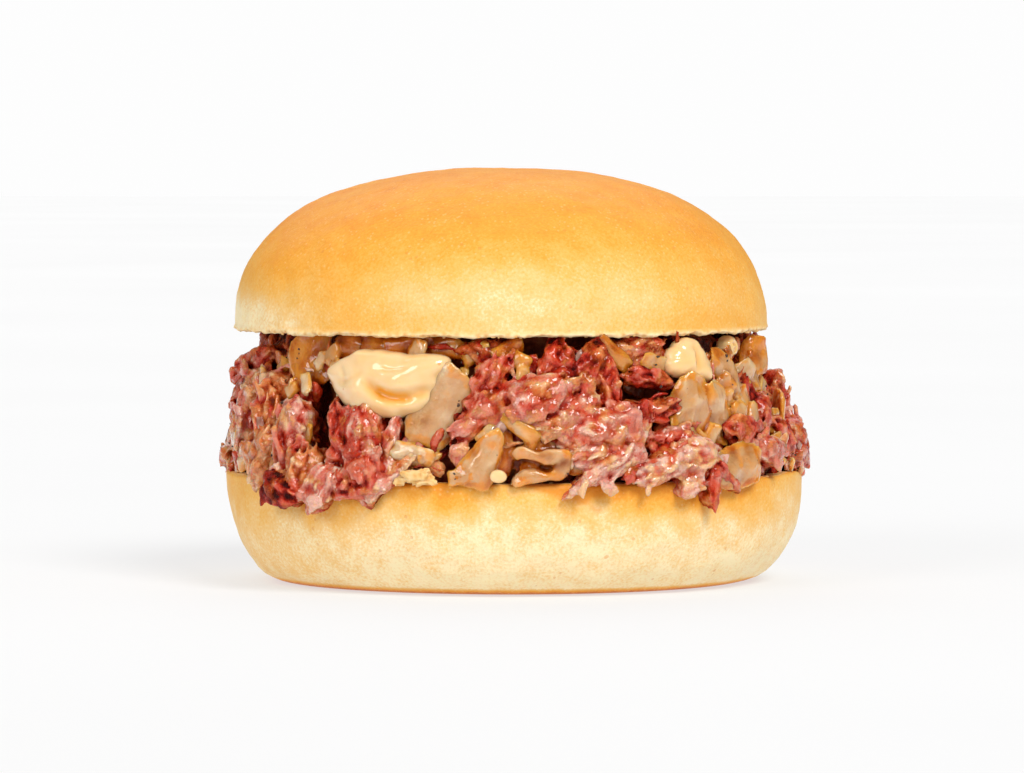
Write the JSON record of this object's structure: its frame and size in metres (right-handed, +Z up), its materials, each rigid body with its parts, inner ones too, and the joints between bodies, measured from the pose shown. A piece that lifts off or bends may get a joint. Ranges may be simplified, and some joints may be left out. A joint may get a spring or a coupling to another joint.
{
  "type": "reuben sandwich",
  "caption": "Round soft-bun sandwich with a thick heap of pulled corned beef, fried onion and creamy dressing showing all round between heel and crown.",
  "frame": {"origin": "centre of the flat base of the bun's heel, on the surface it stands on", "axes": "+Z up through the heel, the filling and the crown; -Y is the front shown in the picture; +X is to the right in the picture"},
  "size_m": [0.1086, 0.1071, 0.0744],
  "materials": {
    "crust": "soft baked golden crust with a fine grain",
    "corned_beef": "moist pulled corned beef, red to pale pink along its fibres",
    "onion": "soft fried onion, amber and partly translucent, wet",
    "dressing": "glossy creamy dressing, pale orange"
  },
  "bodies": {
    "root": {"bun_heel": "crust", "bun_crown": "crust", "filling": "corned_beef", "dressing_left": "dressing", "dressing_right": "dressing", "dressing_drop": "dressing", "dressing_back": "dressing", "onion_upper_left": "onion", "onion_far_left": "onion", "onion_beside_dressing": "onion", "onion_chip_left": "onion", "onion_low_middle": "onion", "onion_chip_middle": "onion", "onion_curl": "onion", "onion_slab_right": "onion", "onion_petal_right": "onion", "onion_strip_right": "onion", "onion_wedge_right": "onion", "onion_side_right": "onion", "onion_flap_right": "onion", "onion_back_1": "onion", "onion_back_2": "onion", "onion_back_3": "onion", "onion_back_4": "onion"}
  },
  "joints": []
}
